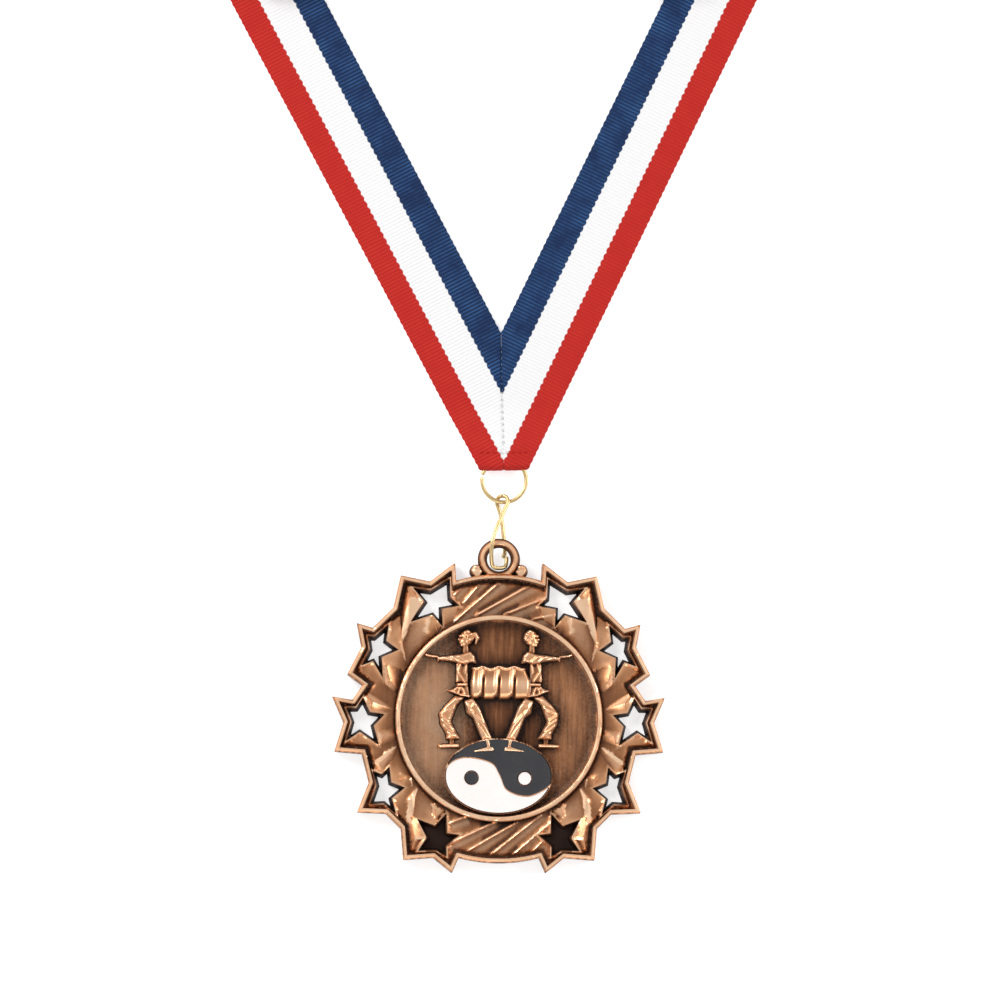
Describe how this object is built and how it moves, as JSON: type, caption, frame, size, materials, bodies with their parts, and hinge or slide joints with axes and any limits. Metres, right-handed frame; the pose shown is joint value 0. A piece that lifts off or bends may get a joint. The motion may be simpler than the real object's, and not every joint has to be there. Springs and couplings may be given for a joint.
{
  "type": "sports finisher medal",
  "caption": "Cast star-edged sports medal with enamel oval, hung by a wire clip and split jump ring from a striped neck ribbon, lying flat.",
  "frame": {"origin": "centre of the medal's flat back", "axes": "+Y from the medal towards the ribbon, +Z out of the medal's face, +X to the right as the face is seen"},
  "size_m": [0.0944, 0.1696, 0.0057],
  "materials": {
    "antique_bronze": "antiqued bronze plate, dark in the recesses, rubbed bright on the ridges",
    "white_enamel": "smooth gloss enamel",
    "black_enamel": "smooth satin enamel",
    "gold_wire": "bright pale gold plate",
    "ribbon_weave": "ribbed woven polyester in navy, white and red stripes",
    "thread": "twisted polyester sewing thread",
    "storage_band": "plain white knitted elastic"
  },
  "bodies": {
    "ribbon": {"ribbon_left_strap": "ribbon_weave", "ribbon_right_strap": "ribbon_weave", "ribbon_bundle": "ribbon_weave", "bundle_band": "storage_band", "mitre_stitching": "thread"},
    "ring": {"jump_ring": "gold_wire", "ribbon_tip_fold": "ribbon_weave", "tip_stitching": "thread"},
    "clip": {"clip_hook_wire": "gold_wire"},
    "clip_latch": {"clip_latch_wire": "gold_wire"},
    "medal": {"medal_casting": "antique_bronze", "enamel_black_lobe": "black_enamel", "enamel_white_lobe": "white_enamel", "enamel_black_dot": "black_enamel", "enamel_white_dot": "white_enamel"}
  },
  "joints": [
    {"name": "ring_swing", "type": "hinge", "parent": "ribbon", "child": "ring", "pos_m": [0.00085, 0.04645, 0.0009], "axis": [1, 0, 0], "range_deg": [-60, 60]},
    {"name": "clip_sway", "type": "hinge", "parent": "ring", "child": "clip", "pos_m": [0.00095, 0.0411, 0.0012], "axis": [0, 0, 1], "range_deg": [-60, 60]},
    {"name": "clip_gate", "type": "hinge", "parent": "clip", "child": "clip_latch", "pos_m": [0.00067, 0.03837, 0.00115], "axis": [0, 0, -1], "range_deg": [0, 6], "stiffness_Nm_per_rad": 0.29},
    {"name": "medal_swing", "type": "hinge", "parent": "clip", "child": "medal", "pos_m": [0, 0.03015, 0.00205], "axis": [1, 0, 0], "range_deg": [-60, 75]}
  ]
}
